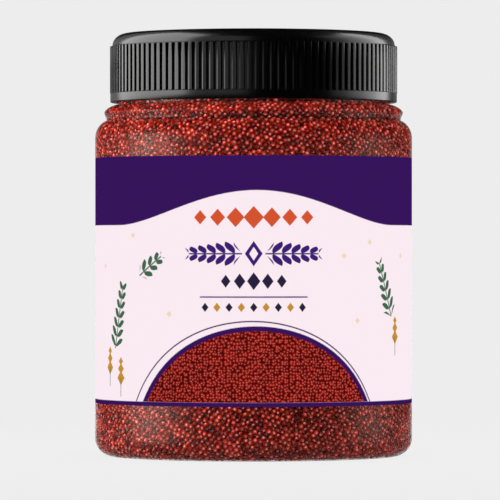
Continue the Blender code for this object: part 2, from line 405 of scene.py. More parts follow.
def inset_outline(outline, distance):
    """The profile set in by a distance, with its ends kept on the axis and level."""
    points = []
    for index, (radius, height) in enumerate(outline):
        before = Vector(outline[max(index - 1, 0)])
        after = Vector(outline[min(index + 1, len(outline) - 1)])
        along = (after - before).normalized()
        inner = Vector((radius, height)) + Vector((-along.y, along.x)) * distance
        points.append((0.0 if index == 0 else inner.x, inner.y))
    return points


def rising_part(outline, step):
    """The profile without the points that turn back on themselves after a wide inset."""
    kept = [outline[0]]
    for point in outline[1:]:
        if point[0] > kept[-1][0] + step or point[1] > kept[-1][1] + step:
            kept.append(point)
    return kept


def cap_outline(cap):
    """The cap's profile from the middle of its top, down its outside, and up inside to its roof's middle."""
    edge_centre = (CAP_SHELL_RADIUS - CAP_EDGE_WIDTH, cap.top - CAP_EDGE_HEIGHT)
    roof = cap.top - CAP_ROOF
    points = [(radius * MM, cap.top - DISC_DEPTH * part) for radius, part in DISC_SECTION]
    points += arc(edge_centre, CAP_EDGE_WIDTH, CAP_EDGE_HEIGHT, math.pi / 2.0, 0.0, 12)
    points += [(CAP_SHELL_RADIUS + out * MM, RIB_TOP + up * MM) for out, up in RIB_CREST]
    rib = (RIB_TOP, RIB_TOP - SLOT_END, RIB_MIDDLE, BAND_TOP + SLOT_END + CORNER, BAND_TOP + SLOT_END)
    points += [(cap.radius, height) for height in rib]
    band = (BAND_TOP, BAND_TOP - BAND_LIP, cap.bottom + BAND_ROUND)
    points += [(BAND_RADIUS, height) for height in band]
    points += [(BAND_RADIUS - CORNER, cap.bottom + CORNER), (BAND_RADIUS - BAND_ROUND, cap.bottom)]
    points += [(CAP_BORE_RADIUS, cap.bottom), (CAP_BORE_RADIUS, roof), (0.0, roof)]
    return points


# Meshes


def spin_whole(shape, parts, angle, steps, **settings):
    """Turn parts of a shape about Z, then weld its seams and point its normals out."""
    centre, axis = (0.0, 0.0, 0.0), (0.0, 0.0, 1.0)
    bmesh.ops.spin(shape, geom=parts, cent=centre, axis=axis, angle=angle, steps=steps, **settings)
    bmesh.ops.remove_doubles(shape, verts=shape.verts, dist=WELD)
    bmesh.ops.recalc_face_normals(shape, faces=shape.faces)
    if shape.calc_volume(signed=True) < 0.0:
        bmesh.ops.reverse_faces(shape, faces=shape.faces)


def spin_profile(profile, steps, angle=FULL_TURN):
    """A bmesh turned about Z from (radius, height) points, closed where it is a full turn."""
    shape = bmesh.new()
    corners = [shape.verts.new((radius, 0.0, height)) for radius, height in profile]
    line = [shape.edges.new(pair) for pair in zip(corners, corners[1:])]
    spin_whole(shape, corners + line, angle, steps, use_merge=angle == FULL_TURN)
    return shape


def lit_group(name):
    """A group of pieces that some of the lamps keep to."""
    return bpy.data.collections.get(name) or bpy.data.collections.new(name)


def finish_piece(mesh, material, replaced, group):
    """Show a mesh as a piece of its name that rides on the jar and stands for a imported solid."""
    mesh.materials.append(material)
    piece = bpy.data.objects.new(mesh.name, mesh)
    bpy.context.scene.collection.objects.link(piece)
    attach(piece, BODY)
    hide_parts(replaced)
    lit_group(group).objects.link(piece)
    return piece


def mesh_from(name, shape, sharp_angle=math.radians(38.0)):
    mesh = bpy.data.meshes.new(name)
    shape.to_mesh(mesh)
    shape.free()
    mesh.shade_smooth()
    mesh.set_sharp_from_angle(angle=sharp_angle)
    return mesh


def mesh_from_arrays(name, places, triangles):
    """A mesh of triangles from an array of places and one of corner numbers."""
    mesh = bpy.data.meshes.new(name)
    mesh.vertices.add(len(places))
    mesh.vertices.foreach_set("co", places.astype(np.float32).ravel())
    mesh.loops.add(triangles.size)
    mesh.loops.foreach_set("vertex_index", triangles.astype(np.int32).ravel())
    mesh.polygons.add(len(triangles))
    mesh.polygons.foreach_set("loop_start", np.arange(0, triangles.size, 3, dtype=np.int32))
    mesh.update(calc_edges=True)
    mesh.shade_smooth()
    return mesh


# Node graphs


class Value:
    """A socket in a formula, each step of which adds a Math node."""

    def __init__(self, graph, socket):
        self.graph = graph
        self.socket = socket

    def __add__(self, other):
        return self.graph.math("ADD", self, other)

    def __sub__(self, other):
        return self.graph.math("SUBTRACT", self, other)

    def __rsub__(self, other):
        return self.graph.math("SUBTRACT", other, self)

    def __mul__(self, other):
        return self.graph.math("MULTIPLY", self, other)

    def __truediv__(self, other):
        return self.graph.math("DIVIDE", self, other)

    def __abs__(self):
        return self.graph.math("ABSOLUTE", self)


class Graph:
    """Adds nodes to one tree and links them, so that a pattern reads as a few lines."""

    def __init__(self, tree):
        self.tree = tree

    def add(self, kind, *inputs, **settings):
        """A node with its settings made and its first inputs fed."""
        node = self.tree.nodes.new(kind)
        for key, value in settings.items():
            setattr(node, key, value)
        for socket, value in zip(node.inputs, inputs):
            self.feed(socket, value)
        return node

    def feed(self, socket, value):
        """Link a value to a socket, or set it there if it is a plain number or colour."""
        if isinstance(value, Value):
            value = value.socket
        if isinstance(value, bpy.types.NodeSocket):
            self.tree.links.new(value, socket)
        elif socket.type == "RGBA":
            socket.default_value = (*value, 1.0)
        else:
            socket.default_value = value

    def dress(self, node, values):
        """Feed the sockets of a node that a table of values names."""
        for title, value in values.items():
            self.feed(node.inputs[title], value)
        return node

    def values(self, sockets):
        """Sockets by their names, ready for formulas."""
        return {socket.name: Value(self, socket) for socket in sockets}

    def math(self, operation, *given):
        return Value(self, self.add("ShaderNodeMath", *given, operation=operation).outputs[0])

    def mix(self, factor, first, second, blend="MIX"):
        node = self.add("ShaderNodeMix", data_type="RGBA", blend_type=blend)
        return self.dress(node, {0: factor, 6: first, 7: second}).outputs[2]

    def spread(self, value, from_low, from_high, to_low, to_high):
        node = self.add("ShaderNodeMapRange", value, from_low, from_high, to_low, to_high)
        return Value(self, node.outputs[0])

    def uneven(self, noise, low, high):
        return self.spread(noise, NOISE_LOW, NOISE_HIGH, low, high)

    def inside(self, distance, edge=0.12):
        """A mask that is 1 where a distance in millimetres is below zero, with a short soft edge."""
        return self.spread(distance, -edge, edge, 1.0, 0.0)

    def noise(self, vector, scale, detail=2.0):
        node = self.add("ShaderNodeTexNoise")
        self.dress(node, {"Vector": vector, "Scale": scale, "Detail": detail})
        return Value(self, node.outputs["Fac"])

    def object_place(self):
        return self.add("ShaderNodeTexCoord").outputs["Object"]

    def bump(self, height, strength, distance):
        node = self.add("ShaderNodeBump")
        self.dress(node, {"Height": height, "Strength": strength, "Distance": distance})
        return node.outputs["Normal"]

    def blend(self, factor, first, second):
        """Two shaders mixed by a factor."""
        return self.add("ShaderNodeMixShader", factor, first.outputs[0], second.outputs[0])

    def show(self, owner, shader):
        self.feed(self.tree.nodes[f"{owner} Output"].inputs["Surface"], shader.outputs[0])


def new_material(name):
    """A material with its graph and its Principled shader."""
    material = bpy.data.materials.new(name)
    material.use_nodes = True
    return material, Graph(material.node_tree), material.node_tree.nodes["Principled BSDF"]


def new_group(name, inputs, outputs):
    """A node group of plain values: its graph, what it is given and the sockets that it puts out."""
    tree = bpy.data.node_groups.new(name, "ShaderNodeTree")
    for way, titles in (("INPUT", inputs), ("OUTPUT", outputs)):
        for title in titles:
            tree.interface.new_socket(name=title, in_out=way, socket_type="NodeSocketFloat")
    graph = Graph(tree)
    given = graph.values(graph.add("NodeGroupInput").outputs)
    return graph, given, graph.add("NodeGroupOutput").inputs


def use_group(graph, name, **given):
    """What a node group puts out, placed with its inputs and built when it is first asked for."""
    tree = bpy.data.node_groups.get(name) or GROUPS[name]()
    node = graph.add("ShaderNodeGroup", node_tree=tree)
    graph.dress(node, {title.replace("_", " ").capitalize(): value for title, value in given.items()})
    return graph.values(node.outputs)


def fine_wear_group():
    """Faint smears and grain that make a moulded or printed surface a little uneven."""
    graph, given, out = new_group("fine_wear", ("Smear scale", "Grain scale"), ("Smear", "Grain"))
    place = graph.object_place()
    graph.feed(out["Smear"], graph.noise(place, given["Smear scale"], 3.0))
    graph.feed(out["Grain"], graph.noise(place, given["Grain scale"], 1.0))
    return graph.tree


def turned_place_group():
    """A place in millimetres as seen from a motif's own middle, with the motif turned by an angle."""
    inputs = ("Along", "Up", "Middle along", "Middle up", "Angle")
    graph, given, out = new_group("turned_place", inputs, ("Along", "Up"))
    across = given["Along"] - given["Middle along"]
    rise = given["Up"] - given["Middle up"]
    cosine = graph.math("COSINE", given["Angle"])
    sine = graph.math("SINE", given["Angle"])
    graph.feed(out["Along"], across * cosine + rise * sine)
    graph.feed(out["Up"], rise * cosine - across * sine)
    return graph.tree


def sprig_group():
    """A straight stem with pairs of rounded leaves: the mask is 1 on the sprig."""
    inputs = ("Along", "Up", "Middle along", "Middle up", "Angle", "Length", "Pitch", "Reach", "Width")
    graph, given, out = new_group("sprig", inputs, ("Mask",))
    place = {title.replace(" ", "_").lower(): given[title] for title in inputs[:5]}
    local = use_group(graph, "turned_place", **place)
    forward, side = local["Along"], abs(local["Up"])
    half = given["Length"] * 0.5
    stem = graph.math("MAXIMUM", side - 0.22, abs(forward) - half)
    slanted = forward - side * 0.75
    repeat = graph.math("PINGPONG", slanted, given["Pitch"] * 0.5)
    reach = given["Reach"] * graph.spread(forward / half, -1.0, 1.0, 1.15, 0.55)
    out_from_middle = (side - reach * 0.5) / reach
    belly = 1.0 - graph.math("POWER", out_from_middle, 2.0) * 4.0
    leaf = graph.math("MAXIMUM", repeat - given["Width"] * 0.5 * belly, side - reach)
    leaf = graph.math("MAXIMUM", leaf, abs(slanted) - half)
    graph.feed(out["Mask"], graph.inside(graph.math("MINIMUM", stem, leaf)))
    return graph.tree


def lozenge_group():
    """A diamond with its own half width and half height: the mask is 1 inside it."""
    inputs = ("Along", "Up", "Middle along", "Middle up", "Half width", "Half height")
    graph, given, out = new_group("lozenge", inputs, ("Mask",))
    across = abs(given["Along"] - given["Middle along"]) / given["Half width"]
    rise = abs(given["Up"] - given["Middle up"]) / given["Half height"]
    graph.feed(out["Mask"], graph.inside((across + rise - 1.0) * given["Half height"]))
    return graph.tree


def printed_grain_group():
    """A field of small printed grains: a colour tone for each, a round shade and a small light."""
    graph, given, out = new_group("printed_grain", ("Along", "Up", "Size"), ("Tone", "Round", "Light"))
    place = graph.add("ShaderNodeCombineXYZ", given["Along"] / given["Size"], given["Up"] / given["Size"])
    cells = graph.add("ShaderNodeTexVoronoi", voronoi_dimensions="2D")
    graph.dress(cells, {"Vector": place.outputs[0], "Scale": 1.0, "Randomness": 0.72})
    graph.feed(out["Tone"], graph.add("ShaderNodeSeparateColor", cells.outputs["Color"]).outputs[0])
    graph.feed(out["Round"], graph.spread(cells.outputs["Distance"], 0.26, 0.66, 1.0, 0.0))
    graph.feed(out["Light"], graph.spread(cells.outputs["Distance"], 0.03, 0.24, 1.0, 0.0))
    return graph.tree


GROUPS = {
    "fine_wear": fine_wear_group,
    "turned_place": turned_place_group,
    "sprig": sprig_group,
    "lozenge": lozenge_group,
    "printed_grain": printed_grain_group,
}


# Materials


def clear_material(jar):
    """Clear plastic that the lamps shine through."""
    material, graph, shader = new_material("clear_plastic")
    wear = use_group(graph, "fine_wear", smear_scale=60.0, grain_scale=900.0)
    graph.dress(shader, {
        "Base Color": graph.mix(wear["Smear"], jar.tint, SMEARED_TINT),
        "Roughness": 0.0,
        "IOR": jar.ior,
        "Transmission Weight": 1.0,
        "Coat Weight": graph.uneven(wear["Smear"], 0.85 * jar.gloss, jar.gloss),
        "Coat Roughness": jar.gloss_roughness,
        "Coat IOR": 1.35,
    })
    in_shadow = graph.add("ShaderNodeLightPath").outputs["Is Shadow Ray"]
    graph.show("Material", graph.blend(in_shadow, shader, graph.add("ShaderNodeBsdfTransparent")))
    return material


def seed_material(name, colour, painted_highlight):
    """Skin of one kind of seed: each has its own tone, with mottling, painted shade towards its rim and a
    painted highlight in the middle of its faces.
    """
    material, graph, shader = new_material(name)
    tone = graph.add("ShaderNodeAttribute", attribute_name="tone").outputs["Fac"]
    face = graph.add("ShaderNodeAttribute", attribute_name="face").outputs["Fac"]
    mottle = graph.noise(graph.object_place(), 1400.0)
    skin = graph.mix(tone, scaled(colour, 0.38), scaled(colour, 1.3))
    # Painted shade: each seed darkens towards its rim, away from the middle of its faces
    rim_shaded = graph.mix(graph.spread(face, 0.2, 0.7, 0.8, 0.0), skin, SEED_RIM_SHADE)
    # Painted highlight: a pale spot in the middle of each seed's faces, stronger on lighter seeds
    pale = graph.spread(face, 0.84, 0.98, 0.0, 1.0) * graph.spread(tone, 0.1, 1.0, 0.15, 0.85)
    highlighted = graph.mix(pale, rim_shaded, painted_highlight)
    graph.dress(shader, {
        "Base Color": graph.mix(1.0, highlighted, graph.uneven(mottle, 0.75, 1.25), "MULTIPLY"),
        "Roughness": graph.uneven(mottle, 0.38, 0.48),
        "Specular IOR Level": 0.03,
        "Normal": graph.bump(mottle, 0.25, 0.08 * MM),
    })
    return material


def heap_material(colour):
    """What shows deep between the seeds: a dark colour that stands for their shade, with painted shade on its
    lows and painted light on its highs, which are of the seeds' own size.
    """
    material, graph, shader = new_material("quinoa_heap")
    cells = graph.add("ShaderNodeTexVoronoi")
    graph.dress(cells, {"Vector": graph.object_place(), "Scale": 640.0})
    # Painted shade and light: each cell is darkened towards its edge and lightened in its middle, and the
    # same values raise its bump
    round_height_and_shade = graph.spread(cells.outputs["Distance"], 0.0, 0.7, 1.0, 0.0)
    graph.dress(shader, {
        "Base Color": graph.mix(round_height_and_shade, scaled(colour, 0.35), scaled(colour, 1.7)),
        "Roughness": 0.6,
        "Normal": graph.bump(round_height_and_shade, 0.8, 0.5 * MM),
    })
    return material


def cap_material(cap):
    """Black moulded plastic with a fine even grain and faint smears."""
    material, graph, shader = new_material("black_plastic")
    wear = use_group(graph, "fine_wear", smear_scale=38.0, grain_scale=2600.0)
    graph.dress(shader, {
        "Base Color": graph.mix(wear["Smear"], cap.colour, scaled(cap.colour, 1.6)),
        "Roughness": graph.uneven(wear["Smear"], cap.roughness - 0.03, cap.roughness + 0.03),
        "Specular IOR Level": 1.0,
        "Normal": graph.bump(wear["Grain"], 0.06, 0.02 * MM),
    })
    return material


class Print:
    """The label's print as a growing stack of coloured masks over its ground."""

    def __init__(self, graph, ground):
        self.graph = graph
        uv = graph.add("ShaderNodeUVMap", uv_map=PRINT_UV).outputs[0]
        place = graph.values(graph.add("ShaderNodeSeparateXYZ", uv).outputs)
        self.along = place["X"] * (UV_SIZE / MM)
        self.up = place["Y"] * (UV_SIZE / MM)
        self.colour = ground

    def lay(self, mask, colour):
        self.colour = self.graph.mix(mask, self.colour, colour)

    def motif(self, name, colour, **given):
        self.lay(use_group(self.graph, name, along=self.along, up=self.up, **given)["Mask"], colour)

    def lozenge(self, colour, along, up, half_width, half_height):
        shape = {"half_width": half_width, "half_height": half_height}
        self.motif("lozenge", colour, middle_along=along, middle_up=up, **shape)

    def sprig(self, colour, along, up, angle, length, reach, width):
        shape = {"angle": angle, "length": length, "pitch": 2.9, "reach": reach, "width": width}
        self.motif("sprig", colour, middle_along=along, middle_up=up, **shape)

    def bar(self, colour, along, up, half_width, half_height):
        across = self.graph.inside(abs(self.along - along) - half_width)
        self.lay(across * self.graph.inside(abs(self.up - up) - half_height), colour)

    def distance_from(self, along, up):
        across, rise = self.along - along, self.up - up
        return self.graph.math("SQRT", across * across + rise * rise)


def print_bands(sheet, label, stripe_top):
    """The upper band with its bell-shaped lower edge, at the front and at the back, and the foot stripe."""
    graph = sheet.graph
    folded = graph.math("PINGPONG", sheet.along - BELL_MIDDLE, PANEL)
    from_back = graph.math("MINIMUM", folded, PANEL - folded)
    turn = graph.math("MINIMUM", from_back, BELL_HALF) * (math.pi / BELL_HALF)
    edge = (graph.math("COSINE", turn) + 1.0) * BELL_RISE + BELL_FOOT
    sheet.lay(graph.inside(edge - sheet.up), label.band)
    sheet.lay(graph.inside(sheet.up - stripe_top), label.band)


def print_grain_field(sheet, label, stripe_top):
    """The half disc of printed grains over the foot stripe, with a broad ring and a thin line outside it."""
    graph = sheet.graph
    above = graph.inside(stripe_top - sheet.up)
    radius = sheet.distance_from(*GRAIN_MIDDLE)
    line = graph.inside(abs(sheet.distance_from(*LINE_MIDDLE) - LINE_RADIUS) - LINE_HALF)
    sheet.lay(line * above, label.band)
    sheet.lay(graph.inside(radius - RING_RADIUS) * above, label.band)
    grain = use_group(graph, "printed_grain", along=sheet.along, up=sheet.up, size=GRAIN_SIZE)
    body = graph.mix(grain["Tone"], scaled(label.grain, 0.55), scaled(label.grain, 1.6, 0.005))
    shaded = graph.mix(grain["Round"], scaled(label.grain, 0.2), body)
    lit = graph.mix(grain["Light"] * 0.78, shaded, scaled(label.grain, 1.2, 0.2))
    sheet.lay(graph.inside(radius - GRAIN_RADIUS) * above, lit)


def print_ornament(sheet, label):
    """The middle ornament: rows of lozenges, a garland, and small lozenges under a rule."""
    for name, reach, pitch, up, middle_half, less, slimness in LOZENGE_ROWS:
        for step in range(-reach, reach + 1):
            half = middle_half - less * abs(step)
            sheet.lozenge(getattr(label, name), pitch * step, up, half * slimness, half)
    for side, angle in ((-1.0, math.pi), (1.0, 0.0)):
        sheet.sprig(label.ink, 11.4 * side, GARLAND_UP, angle, 16.0, 3.7, 2.5)
    sheet.lozenge(label.ink, 0.0, GARLAND_UP, 2.6, 3.7)
    sheet.lozenge(label.field, 0.0, GARLAND_UP, 1.3, 2.0)
    sheet.bar(label.ink, 0.0, SMALL_ROW_UP + 3.0, 16.0, 0.2)
    for step in range(-4, 5):
        sheet.lozenge(label.ochre if step % 2 else label.dark, 3.6 * step, SMALL_ROW_UP, 1.05, 1.35)


def print_sprigs(sheet, label):
    """Green sprigs and seed heads in the field, and pale lozenges strewn round them."""
    for along, up, angle, length in SPRIGS:
        sheet.sprig(label.leaf, along, up, angle, length, 3.3, 2.1)
    for along, up in SEED_HEADS:
        for lift, half in SEED_HEAD_PARTS:
            sheet.lozenge(label.ochre, along, up + lift, half, half * 1.15)
        sheet.bar(label.leaf, along, up - STALK_HALF, 0.15, STALK_HALF)
    for along, up in STREWN:
        sheet.lozenge(label.pale, along, up, 0.9, 0.9)


def print_back_lines(sheet, label):
    """Ruled lines at the middle of the back, where the film's two ends meet."""
    for number in range(BACK_LINES):
        for middle in (-PANEL, PANEL):
            sheet.bar(label.ink, middle, BACK_FOOT + BACK_PITCH * number, BACK_HALF, 0.15)


def label_material(label):
    """Printed film: the stack of masks, with a faint crinkle and smears in its gloss."""
    material, graph, shader = new_material("printed_film")
    sheet = Print(graph, label.field)
    stripe_top = label.bottom / MM + STRIPE_HEIGHT
    print_bands(sheet, label, stripe_top)
    print_grain_field(sheet, label, stripe_top)
    print_ornament(sheet, label)
    print_sprigs(sheet, label)
    print_back_lines(sheet, label)
    wear = use_group(graph, "fine_wear", smear_scale=28.0, grain_scale=1500.0)
    graph.dress(shader, {
        "Base Color": sheet.colour,
        "Roughness": graph.uneven(wear["Smear"], label.roughness - 0.04, label.roughness + 0.04),
        "Specular IOR Level": 0.0,
        "Normal": graph.bump(wear["Smear"], 0.1, 0.2 * MM),
    })
    return material


def floor_material(colour):
    """Pale sweep: lit a little near the jar, and even further out so that it meets what is behind."""
    material, graph, shader = new_material("pale_sweep")
    place = graph.object_place()
    length = graph.add("ShaderNodeVectorMath", place, operation="LENGTH").outputs["Value"]
    graph.dress(shader, {
        "Base Color": graph.mix(graph.noise(place, 30.0), FLOOR_DARK, FLOOR_LIGHT),
        "Roughness": 0.9,
        "Specular IOR Level": 0.0,
    })
    glow = graph.add("ShaderNodeEmission", colour)
    graph.show("Material", graph.blend(graph.spread(length, 0.07, 0.3, 0.975, 1.0), shader, glow))
    return material


# Seeds


class Wall:
    """The inner face of the jar's wall, sampled finely by the length along its profile."""

    def __init__(self, outline, low, high):
        points = np.array(outline)
        lengths = np.concatenate(([0.0], np.cumsum(np.linalg.norm(np.diff(points, axis=0), axis=1))))
        fine = np.linspace(0.0, lengths[-1], int(lengths[-1] / WALL_SAMPLE))
        self.radius = np.interp(fine, lengths, points[:, 0])
        self.height = np.interp(fine, lengths, points[:, 1])
        keep = (self.height >= low) & (self.height <= high)
        self.radius, self.height, self.length = self.radius[keep], self.height[keep], fine[keep]
        slope = np.stack([np.gradient(self.radius), np.gradient(self.height)], axis=1)
        slope /= np.linalg.norm(slope, axis=1)[:, None]
        self.out = np.stack([slope[:, 1], -slope[:, 0]], axis=1)

    def nearest(self, radius, height):
        """The sample nearest to each (radius, height)."""
        picks = np.empty(len(radius), int)
        for start in range(0, len(radius), SAMPLES_AT_ONCE):
            part = slice(start, start + SAMPLES_AT_ONCE)
            across = radius[part, None] - self.radius[None, :]
            rise = height[part, None] - self.height[None, :]
            picks[part] = np.argmin(across * across + rise * rise, axis=1)
        return picks

    def scatter(self, spacing, draws):
        """Angles and samples of points spread evenly over the wall by the golden angle, then shaken."""
        area = np.cumsum(FULL_TURN * self.radius * np.gradient(self.length))
        count = int(area[-1] / (spacing * spacing * math.sqrt(3.0) / 2.0))
        shaken = np.arange(count) + 0.5 + draws.normal(0.0, SHAKE, count)
        level = np.searchsorted(area, shaken * area[-1] / count)
        angles = np.arange(count) * GOLDEN_ANGLE + draws.normal(0.0, SHAKE, count) * spacing / JAR_HIGH.x
        return angles % FULL_TURN, np.clip(level, 0, len(area) - 1)

    def places(self, angles, picks):
        radius = self.radius[picks]
        return np.stack([radius * np.cos(angles), radius * np.sin(angles), self.height[picks]], axis=1)


def pushed_apart(wall, angles, picks, spacing):
    """The points moved along the wall until few are closer than the spacing."""
    wanted = spacing * PUSH_REACH
    for _ in range(RELAX_ROUNDS):
        places = wall.places(angles, picks)
        tree = KDTree(len(places))
        for index, place in enumerate(places):
            tree.insert(place, index)
        tree.balance()
        moves = np.zeros_like(places)
        for index, place in enumerate(places):
            for _, other, distance in tree.find_n(place, NEIGHBOURS):
                if other != index and 0.0 < distance < wanted:
                    push = (wanted - distance) / distance * PUSH_PART
                    moves[index] += (places[index] - places[other]) * push
        places += moves
        angles = np.arctan2(places[:, 1], places[:, 0])
        picks = wall.nearest(np.hypot(places[:, 0], places[:, 1]), places[:, 2])
    return angles, picks


def seed_shape(seeds):
    """Corners and triangles of one seed: a flattened ball with its short axis along Z."""
    shape = bmesh.new()
    bmesh.ops.create_uvsphere(shape, u_segments=8, v_segments=5, radius=0.5)
    bmesh.ops.scale(shape, vec=(seeds.width, seeds.width, seeds.thickness), verts=shape.verts)
    bmesh.ops.triangulate(shape, faces=shape.faces)
    corners = np.array([corner.co[:] for corner in shape.verts])
    shape.verts.index_update()
    triangles = np.array([[corner.index for corner in face.verts] for face in shape.faces])
    shape.free()
    return corners, triangles


def seed_frames(wall, angles, picks, seeds, draws, deeper):
    """Where each seed lies: its middle, its three axes with the short one roughly outwards, and its size."""
    count = len(angles)
    cosine, sine = np.cos(angles), np.sin(angles)
    out = np.stack([wall.out[picks, 0] * cosine, wall.out[picks, 0] * sine, wall.out[picks, 1]], axis=1)
    round_jar = np.stack([-sine, cosine, np.zeros(count)], axis=1)
    up = np.cross(out, round_jar)
    tilt = np.abs(draws.normal(0.0, seeds.tilt, count))
    lean = draws.uniform(0.0, FULL_TURN, count)
    side = round_jar * np.cos(lean)[:, None] + up * np.sin(lean)[:, None]
    short = out * np.cos(tilt)[:, None] + side * np.sin(tilt)[:, None]
    long = np.cross(short, np.cross(out, side))
    long /= np.linalg.norm(long, axis=1)[:, None]
    broad = np.cross(short, long)
    size = draws.normal(1.0, SIZE_SPREAD, count).clip(*SIZE_ENDS)[:, None]
    stretch = draws.uniform(*STRETCH_ENDS, (count, 3))
    half = np.array([seeds.width, seeds.thickness]) / 2.0 * size
    reach = np.hypot(half[:, 0] * np.sin(tilt), half[:, 1] * np.cos(tilt)) * stretch.max(axis=1)
    sunk = reach - seeds.bite * draws.uniform(*BITE_ENDS, count) + deeper
    middle = wall.places(angles, picks) - out * sunk[:, None]
    return middle, (long, broad, short), size * stretch


def joined_seeds(name, base, middle, axes, size, tone):
    """One mesh of many seeds, with each seed's own tone on its corners."""
    corners, triangles = base
    grown = corners[None, :, :] * size[:, None, :]
    places = middle[:, None, :]
    for number, axis in enumerate(axes):
        places = places + grown[:, :, number, None] * axis[:, None, :]
    step = np.arange(len(middle))[:, None, None] * len(corners)
    mesh = mesh_from_arrays(name, places.reshape(-1, 3), (triangles[None, :, :] + step).reshape(-1, 3))
    # How far each corner lies towards a seed's flat faces: this places the painted rim shade and the painted
    # highlight
    face = np.abs(corners[:, 2]) / np.abs(corners[:, 2]).max()
    for title, values in (("tone", np.repeat(tone, len(corners))), ("face", np.tile(face, len(middle)))):
        layer = mesh.attributes.new(title, "FLOAT", "POINT")
        layer.data.foreach_set("value", values.astype(np.float32))
    return mesh


# Operators


class QUINOA_OT_stage(bpy.types.Operator):
    """Set up the camera, the soft lights and the pale floor"""

    bl_idname = "quinoa.stage"
    bl_label = "Stage"

    def execute(self, context):
        stage = context.scene.jar_stage_settings
        self.camera(context, stage)
        self.world(context, stage)
        self.floor(context, stage)
        self.lights(context, stage)
        return {"FINISHED"}

    def camera(self, context, stage):
        data = bpy.data.cameras.new("camera")
        data.lens = stage.lens
        data.clip_start = 0.05
        camera = bpy.data.objects.new("camera", data)
        camera.location = (stage.camera_side, -stage.distance, stage.camera_height)
        camera.rotation_euler = (math.pi / 2.0, 0.0, 0.0)
        context.scene.collection.objects.link(camera)
        context.scene.camera = camera

    def world(self, context, stage):
        """What is behind shows pale to the eye and through the wall, and a soft light falls from above."""
        world = bpy.data.worlds.new("pale_room")
        context.scene.world = world
        world.use_nodes = True
        graph = Graph(world.node_tree)
        shown = world.node_tree.nodes["Background"]
        graph.feed(shown.inputs["Color"], stage.backdrop)
        way = graph.add("ShaderNodeTexCoord").outputs["Generated"]
        way = graph.values(graph.add("ShaderNodeSeparateXYZ", way).outputs)
        path = graph.add("ShaderNodeLightPath").outputs
        mirrored = graph.math("GREATER_THAN", path["Glossy Depth"], 0.5)
        lighting = graph.math("GREATER_THAN", path["Diffuse Depth"], 0.5)
        within = graph.math("GREATER_THAN", path["Transmission Depth"], 0.5)

        # Soft light: stronger from above, faint from below, and less of it once it has passed the wall
        rise = graph.spread(way["Z"], 0.0, 0.75, stage.low_light, stage.high_light)
        rise = rise * graph.spread(way["Z"], -0.25, 0.0, stage.floor_light, 1.0)
        inner = graph.spread(way["Z"], -0.1, 0.3, 0.0, 1.25) * stage.inner_light
        soft = graph.add("ShaderNodeBackground")
        graph.feed(soft.inputs["Strength"], rise * graph.spread(within, 0.0, 1.0, 1.0, inner))

        # What gloss mirrors: dark, but for a faint light behind the jar and near the horizon
        level = graph.spread(abs(way["Z"]), 0.05, 0.25, 1.0, 0.0)
        dark = graph.add("ShaderNodeBackground")
        graph.feed(dark.inputs["Strength"], graph.spread(way["Y"], 0.88, 0.99, 0.0, 0.4) * level)

        seen = graph.blend(mirrored, shown, dark)
        graph.show("World", graph.blend(lighting, seen, soft))
        world.cycles.sampling_method = "NONE"
        context.scene.view_settings.view_transform = "Standard"

    def floor(self, context, stage):
        shape = bmesh.new()
        bmesh.ops.create_circle(shape, cap_ends=True, segments=96, radius=4.0)
        floor = bpy.data.objects.new("floor", mesh_from("floor", shape))
        floor.data.materials.append(floor_material(stage.backdrop))
        floor.visible_glossy = False
        floor.visible_diffuse = False
        context.scene.collection.objects.link(floor)

    def lights(self, context, stage):
        """The screens for the cap, the lamps for the seeds and those that veil the wall."""
        for name, start, end, top, brightness in SCREENS:
            self.screen(context, name, start, end, top, brightness * stage.gloss_light)
        for name, *place, brightness in SEED_LAMPS:
            self.lamp(context, name, LIT_SEEDS, *place, brightness * stage.seed_light)
        for name, *place, brightness in WALL_LAMPS:
            light = self.lamp(context, name, LIT_WALL, *place, brightness * stage.veil_light)
            light.data.color = stage.veil_colour

    def lamp(self, context, name, group, azimuth, elevation, size, brightness):
        """A round soft lamp that lights and is blocked by one group of pieces."""
        turn, rise = math.radians(azimuth), math.radians(elevation)
        level = math.cos(rise)
        away = Vector((math.sin(turn) * level, -math.cos(turn) * level, math.sin(rise)))
        area = math.pi * size * size / 4.0
        light = self.area_light(context, name, group, away, away * LAMP_DISTANCE, brightness * area)
        light.data.shape = "DISK"
        light.data.size = size
        light.light_linking.blocker_collection = lit_group(group)
        return light

    def screen(self, context, name, start, end, top, brightness):
        """A tall upright screen between two azimuths, which only gloss mirrors."""
        turn, half = math.radians(start + end) / 2.0, math.radians(end - start) / 2.0
        width, height = 2.0 * SCREEN_DISTANCE * math.tan(half), top - SCREEN_FOOT
        away = Vector((math.sin(turn), -math.cos(turn), 0.0))
        middle = away * SCREEN_DISTANCE + Vector((0.0, 0.0, (top + SCREEN_FOOT) / 2.0))
        light = self.area_light(context, name, LIT_GLOSS, away, middle, brightness * width * height)
        light.data.shape = "RECTANGLE"
        light.data.size = width
        light.data.size_y = height
        light.visible_diffuse = False
        light.visible_transmission = False

    def area_light(self, context, name, group, away, middle, power):
        """A light that faces the jar, keeps to one group of pieces and isn't seen itself."""
        data = bpy.data.lights.new(name, "AREA")
        data.energy = power * math.pi
        light = bpy.data.objects.new(name, data)
        light.location = middle
        light.rotation_euler = (-away).to_track_quat("-Z", "Y").to_euler()
        light.visible_camera = False
        light.light_linking.receiver_collection = lit_group(group)
        context.scene.collection.objects.link(light)
        return light


class QUINOA_OT_jar(bpy.types.Operator):
    """Blow the clear jar: a body with a heel, a shoulder, a waist, a bead and a neck"""

    bl_idname = "quinoa.jar"
    bl_label = "Clear jar"

    def execute(self, context):
        scene = context.scene
        jar, label = scene.jar_wall_settings, scene.jar_label_settings
        outside = jar_outline(jar, label)
        inside = inset_outline(outside, jar.wall)
        inside[-1] = (NECK_RADIUS - jar.wall, jar.height)
        mesh = mesh_from("clear_jar", spin_profile(inside + outside[::-1], WALL_STEPS))
        finish_piece(mesh, clear_material(jar), "jar", LIT_WALL)
        return {"FINISHED"}


